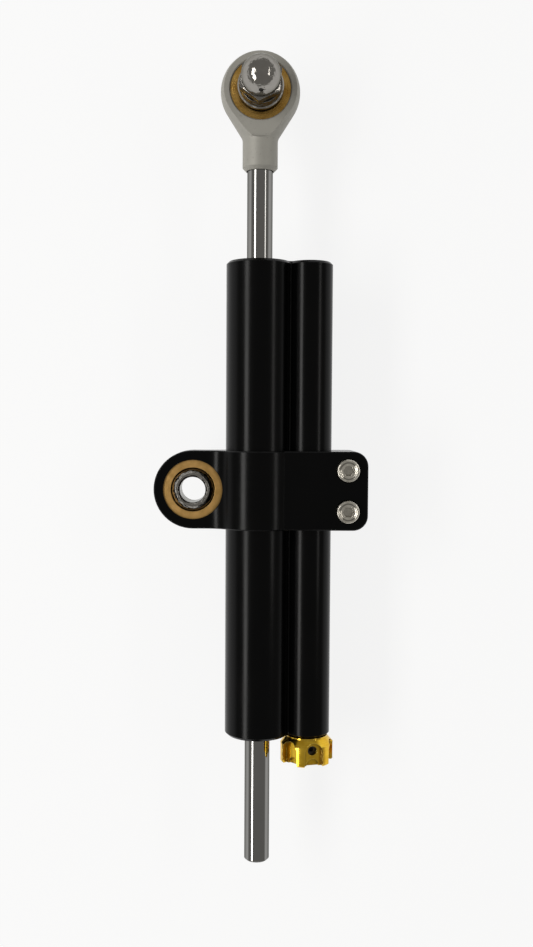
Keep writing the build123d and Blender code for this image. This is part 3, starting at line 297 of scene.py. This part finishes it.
def turned(
    name, centre, axis, dark, light, rough, step=0.00012, along=0.0, edge_wear_and_glint=None, groove=6e-6
):
    """Turned metal: fine rings round an axis, with slow colour change, painted highlights along
    the edges and painted shade in recesses.
    """
    n = Nodes(name, Metallic=1.0)
    rings = n.noise(n.ring([c * MM for c in centre], axis, step, along), detail=2)
    cloud = n.noise(n.scaled((320, 320, 320)), detail=4)
    base = n.blend(n.range(cloud, 0.3, 0.7), dark, light)
    lined = n.blend(n.range(rings, 0.35, 0.8, 0, 0.35), base, [c * 0.6 for c in dark])
    edge = n.edge(0.0002)
    # Painted highlight: sharp edges are lightened towards a brighter tone.
    bright = edge_wear_and_glint or [min(1, c * 1.3) for c in light]
    edge_worn_and_lit = n.blend(n.math("MULTIPLY", edge, 0.6), lined, bright)
    # Painted shade: the colour is darkened in recesses and gaps.
    color = n.dimmed(edge_worn_and_lit, n.crevice_shade(0.0014))
    roughness = n.math(
        "ADD",
        n.range(rings, 0.3, 0.7, rough, rough + 0.08),
        n.range(cloud, 0.3, 0.7, -0.03, 0.03),
    )
    normal = n.bump(rings, groove, 0.5, n.rounded(0.00015))
    return n.finish(color, roughness, normal)


def rubber(name, dark, light):
    """Matte moulded rubber or seal plastic with a fine bloom."""
    n = Nodes(name, Metallic=0.0)
    bloom = n.noise(n.scaled((500, 500, 500)), detail=4)
    grain = n.noise(n.scaled((5000, 5000, 5000)), detail=2)
    color = n.blend(n.range(bloom, 0.3, 0.7), dark, light)
    rough = n.range(bloom, 0.3, 0.7, 0.5, 0.7)
    return n.finish(color, rough, n.bump(grain, 0.00001, 0.4))


def phosphated(name):
    """Dark spring steel with a mottled phosphate coat."""
    n = Nodes(name, Metallic=0.7)
    mottle = n.noise(n.scaled((900, 900, 900)), detail=5)
    edge = n.edge(0.0001)
    base = n.blend(n.range(mottle, 0.3, 0.7), (0.030, 0.030, 0.032), (0.075, 0.074, 0.072))
    color = n.blend(n.math("MULTIPLY", edge, 0.5), base, (0.22, 0.21, 0.20))
    rough = n.range(mottle, 0.3, 0.7, 0.32, 0.5)
    return n.finish(color, rough, n.bump(mottle, 0.00001, 0.4))


def assign(material, *names):
    """Puts one material on all the slots of these CAD nodes."""
    for name in names:
        data = nodes[name].data
        data.materials.clear()
        data.materials.append(material)


# Materials of the carried-over CAD nodes
body_black = black_anodised("body_black", (3600, 25, 3600))
clamp_black = black_anodised("clamp_black", (40, 1800, 1800))
rod_chrome = ground_chrome("rod_chrome")
plated = bright_chrome("plated")
assign(body_black, "body")
assign(clamp_black, "clamp")
assign(rod_chrome, "piston_rod")
assign(
    plated, "dome_nut", "stud_collar", "rod_end_ball", "clamp_ball", "mounting_stud",
    "detent_ball",
)
assign(blasted_aluminium("rod_end_grey"), "rod_end")

BRASS_DARK = (0.36, 0.225, 0.065)
BRASS_LIGHT = (0.56, 0.37, 0.125)
assign(
    turned(
        "rod_end_brass", (ROD_X, EYE_Y, 0), 2, (0.52, 0.27, 0.05), (0.86, 0.54, 0.16), 0.24,
        groove=1.2e-4,
    ),
    "rod_end_race",
)
assign(
    turned(
        "clamp_brass", (0, 0, 0), 2, (0.56, 0.33, 0.10), (0.78, 0.47, 0.17), 0.36, groove=8e-5
    ),
    "clamp_race",
)
valve_brass = turned("valve_brass", (VALVE_X, 0, 0), 1, BRASS_DARK, BRASS_LIGHT, 0.28, along=3000)
bush_brass = turned("bush_brass", (ROD_X, 0, 0), 1, BRASS_DARK, BRASS_LIGHT, 0.28, along=3000)
assign(valve_brass, "valve_body")
assign(bush_brass, "top_bush", "bottom_bush")

gold = turned(
    "knob_gold", (VALVE_X, 0, 0), 1, (0.72, 0.41, 0.020), (0.92, 0.60, 0.060), 0.12,
    # The bright yellow edge colour is a painted highlight.
    step=0.00018, along=2400, edge_wear_and_glint=(1.0, 0.80, 0.26),
)
assign(gold, "adjuster_knob")

STEEL_DARK = (0.50, 0.475, 0.44)
STEEL_LIGHT = (0.70, 0.67, 0.63)
valve_steel = turned("steel_valve", (VALVE_X, 0, 0), 1, STEEL_DARK, STEEL_LIGHT, 0.2, along=3000)
assign(valve_steel, "adjuster_spindle", "metering_needle", "valve_seat")

ALLOY_DARK = (0.55, 0.55, 0.555)
ALLOY_LIGHT = (0.74, 0.74, 0.745)
rod_alloy = turned("guide_alloy", (ROD_X, 0, 0), 1, ALLOY_DARK, ALLOY_LIGHT, 0.24, along=3000)
valve_alloy = turned("plug_alloy", (VALVE_X, 0, 0), 1, ALLOY_DARK, ALLOY_LIGHT, 0.24, along=3000)
assign(rod_alloy, "top_guide", "bottom_guide", "piston")
assign(valve_alloy, "compensator_plug", "floating_piston")

black_rubber = rubber("black_rubber", (0.010, 0.010, 0.010), (0.028, 0.027, 0.026))
seal_green = rubber("seal_plastic", (0.10, 0.15, 0.13), (0.17, 0.23, 0.20))
assign(
    black_rubber, "top_wiper", "bottom_wiper", "top_guide_oring", "bottom_guide_oring",
    "valve_orings", "plug_oring", "floating_oring", "spindle_oring",
)
assign(seal_green, "top_rod_seal", "bottom_rod_seal", "piston_ring")
spring_steel = phosphated("spring_steel")
assign(
    spring_steel, "top_circlip", "bottom_circlip", "piston_clips", "compensator_spring",
    "detent_spring", "knob_grub_screw",
)


def screw_steel(name):
    """Stainless cap screws: rings and a groove round each one's axis, slightly wavy, with painted
    shade in the groove and in recesses.
    """
    n = Nodes(name, Metallic=1.0)
    folded = n.add("ShaderNodeVectorMath", operation="ABSOLUTE")
    n.join(n.place, folded.inputs[0])
    n.place = folded.outputs[0]
    screw_centre = [SCREW_X * MM, SCREW_Y * MM, 0]
    rings = n.noise(n.ring(screw_centre, 2, 0.00012, 2500), detail=2)
    cloud = n.noise(n.scaled((700, 700, 700)), detail=4)
    base = n.blend(n.range(cloud, 0.3, 0.7), (0.60, 0.565, 0.49), (0.85, 0.81, 0.72))
    lined = n.blend(n.range(rings, 0.4, 0.8, 0, 0.3), base, (0.26, 0.235, 0.21))
    # Painted shade: the colour is darkened in recesses and gaps.
    color = n.dimmed(lined, n.crevice_shade(0.0025, 0.6))
    rough = n.math(
        "ADD",
        n.range(rings, 0.3, 0.7, 0.12, 0.20),
        n.range(cloud, 0.3, 0.7, -0.03, 0.05),
    )
    forged = n.noise(n.scaled((650, 650, 650)), detail=1)
    wave = n.bump(forged, 0.0003, 0.6, n.rounded(0.00012))
    reach = n.add("ShaderNodeSeparateXYZ")
    n.join(n.ring(screw_centre, 2, 1.0), reach.inputs[0])
    radius = reach.outputs[0]
    lip = n.bump(n.range(radius, 0.0021, 0.0029), 0.0004, 0.8, wave)
    # Painted shade: a dark band on each head, over the groove that the lip bump draws.
    inner = n.range(radius, 0.0022, 0.0025)
    outer = n.range(radius, 0.0026, 0.0029)
    groove = n.math("SUBTRACT", inner, outer, clamp=True)
    color = n.dimmed(color, n.range(groove, 0, 1, 1.0, 0.35))
    return n.finish(color, rough, n.bump(rings, 0.00004, 0.6, lip))


screw_metal = screw_steel("screw_steel")
assign(screw_metal, "clamp_screws")


def new_piece(name, mesh_data, material, body):
    """Links a mesh as a piece that rides on a body and takes its finish from a slot."""
    piece = bpy.data.objects.new(name, mesh_data)
    bpy.context.scene.collection.objects.link(piece)
    mesh_data.materials.clear()
    mesh_data.materials.append(material)
    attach(piece, body)
    return piece


def ring_of(mesh, x, y, z, radii):
    """Adds a closed ring of points, in millimetres, one for each radius."""
    ring = []
    for step, r in enumerate(radii):
        angle = math.tau * step / len(radii)
        place = (x + r * math.cos(angle), y + r * math.sin(angle), z)
        ring.append(mesh.verts.new([v * MM for v in place]))
    return ring


def skin(mesh, low, high, smooth=False):
    """Joins two rings of the same count with faces."""
    for step in range(len(low)):
        after = (step + 1) % len(low)
        face = mesh.faces.new((low[step], low[after], high[after], high[step]))
        face.smooth = smooth


# Compensator spring: a copy of the CAD spring with its place baked into the mesh, in place of the
# hidden CAD node
spring = bpy.data.objects.new(
    "compensator_spring_flexing", nodes["compensator_spring"].data.copy()
)
bpy.context.scene.collection.objects.link(spring)
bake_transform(spring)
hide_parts("compensator_spring")

# Threaded stud: the CAD stud with a real thread on its free end
THREAD_PITCH = 1.25
THREAD_OUTER = 4.0
THREAD_ROOT = 3.32
THREAD_TOP = -10.0
THREAD_TIP = -22.0
THREAD_FADE = 1.4
THREAD_FLAT = 0.10
THREAD_FLANK = 0.72
TIP_RADIUS = 3.25
THREAD_STEPS = 48
THREAD_ROWS = 10
THREAD_OVERLAP = 0.02
WELD_DISTANCE = 1e-7


def thread_radius(angle, z):
    """The thread's radius at a height, with a run-out at the hexagon and a chamfer at the tip."""
    turn = (z - THREAD_TIP) / THREAD_PITCH + angle / math.tau
    share = abs(2 * (turn % 1) - 1)
    profile = min(1, max(0, (share - THREAD_FLAT) / THREAD_FLANK))
    radius = THREAD_ROOT + (THREAD_OUTER - THREAD_ROOT) * profile
    fade = min(1, max(0, (THREAD_TOP - z) / THREAD_FADE))
    radius = THREAD_ROOT + (radius - THREAD_ROOT) * fade
    return min(radius, TIP_RADIUS + (z - THREAD_TIP))


def threaded_stud():
    """A mesh of the stud: the CAD solid above the thread, and a helical thread below it."""
    data = nodes["mounting_stud"].data.copy()
    mesh = bmesh.new()
    mesh.from_mesh(data)
    bmesh.ops.remove_doubles(mesh, verts=mesh.verts[:], dist=WELD_DISTANCE)
    top = THREAD_TOP + THREAD_OVERLAP
    cut = bmesh.ops.bisect_plane(
        mesh,
        geom=mesh.verts[:] + mesh.edges[:] + mesh.faces[:],
        plane_co=(0, 0, top * MM),
        plane_no=(0, 0, 1),
        clear_inner=True,
    )
    rim = [e for e in cut["geom_cut"] if isinstance(e, bmesh.types.BMEdge)]
    bmesh.ops.holes_fill(mesh, edges=rim)
    rows = round((top - THREAD_TIP) / THREAD_PITCH * THREAD_ROWS)
    rings = []
    for row in range(rows + 1):
        z = THREAD_TIP + (top - THREAD_TIP) * row / rows
        turns = range(THREAD_STEPS)
        radii = [thread_radius(math.tau * step / THREAD_STEPS, z) for step in turns]
        rings.append(ring_of(mesh, ROD_X, EYE_Y, z, radii))
    for low, high in zip(rings, rings[1:]):
        skin(mesh, low, high, smooth=True)
    mesh.faces.new(list(reversed(rings[0])))
    mesh.faces.new(rings[-1])
    mesh.normal_update()
    mesh.to_mesh(data)
    mesh.free()
    return data


stud = new_piece("mounting_stud_threaded", threaded_stud(), plated, "stud")
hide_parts("mounting_stud")

# Knurl on the cap screws' heads
KNURL_TEETH = 40
KNURL_LOW = 9.0
KNURL_HIGH = 11.1
KNURL_ROOT = 3.46
KNURL_CREST = 3.56
KNURL_INNER = 3.3
KNURL_CHAMFER = 0.12


def knurl_ring(mesh, x, y):
    """Adds a straight-toothed ring round a screw's head, closed on its inside."""
    teeth = [KNURL_ROOT, KNURL_CREST, KNURL_CREST, KNURL_ROOT] * KNURL_TEETH
    plain = [KNURL_ROOT] * len(teeth)
    rings = [
        ring_of(mesh, x, y, KNURL_LOW, plain),
        ring_of(mesh, x, y, KNURL_LOW + KNURL_CHAMFER, teeth),
        ring_of(mesh, x, y, KNURL_HIGH - KNURL_CHAMFER, teeth),
        ring_of(mesh, x, y, KNURL_HIGH, plain),
        ring_of(mesh, x, y, (KNURL_LOW + KNURL_HIGH) / 2, [KNURL_INNER] * len(teeth)),
    ]
    for low, high in zip(rings, rings[1:] + rings[:1]):
        skin(mesh, low, high)


knurls = bpy.data.meshes.new("screw_knurls")
built = bmesh.new()
for side in (-1, 1):
    knurl_ring(built, SCREW_X, side * SCREW_Y)
built.normal_update()
built.to_mesh(knurls)
built.free()
new_piece("screw_knurls", knurls, screw_metal, "housing")


# Floor: pale paper under the part
FLOOR_SIZE = 16.0
FLOOR_DROP = 0.0002
FLOOR_WHITE_SHARE = 0.85
floor_z = cad_box[0][2] - FLOOR_DROP
bpy.ops.mesh.primitive_plane_add(size=FLOOR_SIZE, location=(ROD_X * MM, 0, floor_z))
floor = bpy.context.object
floor.name = "floor"
paper = Nodes("floor_paper", Metallic=0.0, Roughness=0.9)
paper_grain = paper.noise(paper.scaled((300, 300, 300)), detail=3)
paper_color = paper.blend(paper_grain, (0.885, 0.885, 0.88), (0.905, 0.905, 0.90))
paper.finish(paper_color)
light_path = paper.add("ShaderNodeLightPath")
seen = light_path.outputs["Is Camera Ray"]
for kind in ("Is Glossy Ray", "Is Transmission Ray"):
    seen = paper.math("MAXIMUM", seen, light_path.outputs[kind])
white = paper.add("ShaderNodeEmission")
white.inputs["Color"].default_value = (1, 1, 1, 1)
white.inputs["Strength"].default_value = 1.0
mixed = paper.add("ShaderNodeMixShader")
paper.join(paper.math("MULTIPLY", seen, FLOOR_WHITE_SHARE), mixed.inputs[0])
paper.join(paper.shader.outputs[0], mixed.inputs[1])
paper.join(white.outputs[0], mixed.inputs[2])
paper.join(mixed.outputs[0], paper.output.inputs["Surface"])
floor.data.materials.append(paper.material)

# World: a plain grey room that is pale at the horizon
world = bpy.data.worlds.new("room")
bpy.context.scene.world = world
world.use_nodes = True
room = world.node_tree
room.nodes.clear()
room_out = room.nodes.new("ShaderNodeOutputWorld")
room_light = room.nodes.new("ShaderNodeBackground")
room.links.new(room_light.outputs[0], room_out.inputs["Surface"])
direction = room.nodes.new("ShaderNodeTexCoord")
parts = room.nodes.new("ShaderNodeSeparateXYZ")
room.links.new(direction.outputs["Generated"], parts.inputs[0])
ramp = room.nodes.new("ShaderNodeValToRGB")
ramp.color_ramp.elements[0].position = HORIZON_TOP
ramp.color_ramp.elements[0].color = (*HORIZON, 1)
ramp.color_ramp.elements[1].position = ZENITH_START
ramp.color_ramp.elements[1].color = (*ZENITH, 1)
room.links.new(parts.outputs["Z"], ramp.inputs[0])
room.links.new(ramp.outputs[0], room_light.inputs["Color"])
room_light.inputs["Strength"].default_value = 1.0


def strip_lamp(name, lean, width_angle, length, y, radiance, color):
    """A long lamp parallel to the rod, leaning from the zenith by lean degrees towards +X."""
    lean = math.radians(lean)
    width = 2 * LAMP_DISTANCE * math.tan(math.radians(width_angle / 2))
    lamp = bpy.data.lights.new(name, "AREA")
    lamp.shape = "RECTANGLE"
    lamp.size = width
    lamp.size_y = length
    lamp.energy = radiance * math.pi * width * length
    lamp.color = color
    holder = bpy.data.objects.new(name, lamp)
    across = ROD_X * MM + LAMP_DISTANCE * math.sin(lean)
    holder.location = (across, y, LAMP_DISTANCE * math.cos(lean))
    holder.rotation_euler = (0, lean, 0)
    bpy.context.scene.collection.objects.link(holder)


for lamp_name, settings in LAMPS.items():
    strip_lamp(lamp_name, *settings)

# Camera
camera_data = bpy.data.cameras.new("camera")
camera_data.sensor_width = SENSOR_MM
camera_data.lens = FOCAL_PX / FRAME_HEIGHT_PX * SENSOR_MM
camera_data.clip_start = CAMERA_CLIP
camera = bpy.data.objects.new("camera", camera_data)
camera.location = [v * MM for v in CAMERA_PLACE]
camera.rotation_euler = [math.radians(v) for v in CAMERA_TURN]
bpy.context.scene.collection.objects.link(camera)
bpy.context.scene.camera = camera
bpy.context.scene.view_settings.view_transform = "Standard"

bpy.context.view_layer.update()
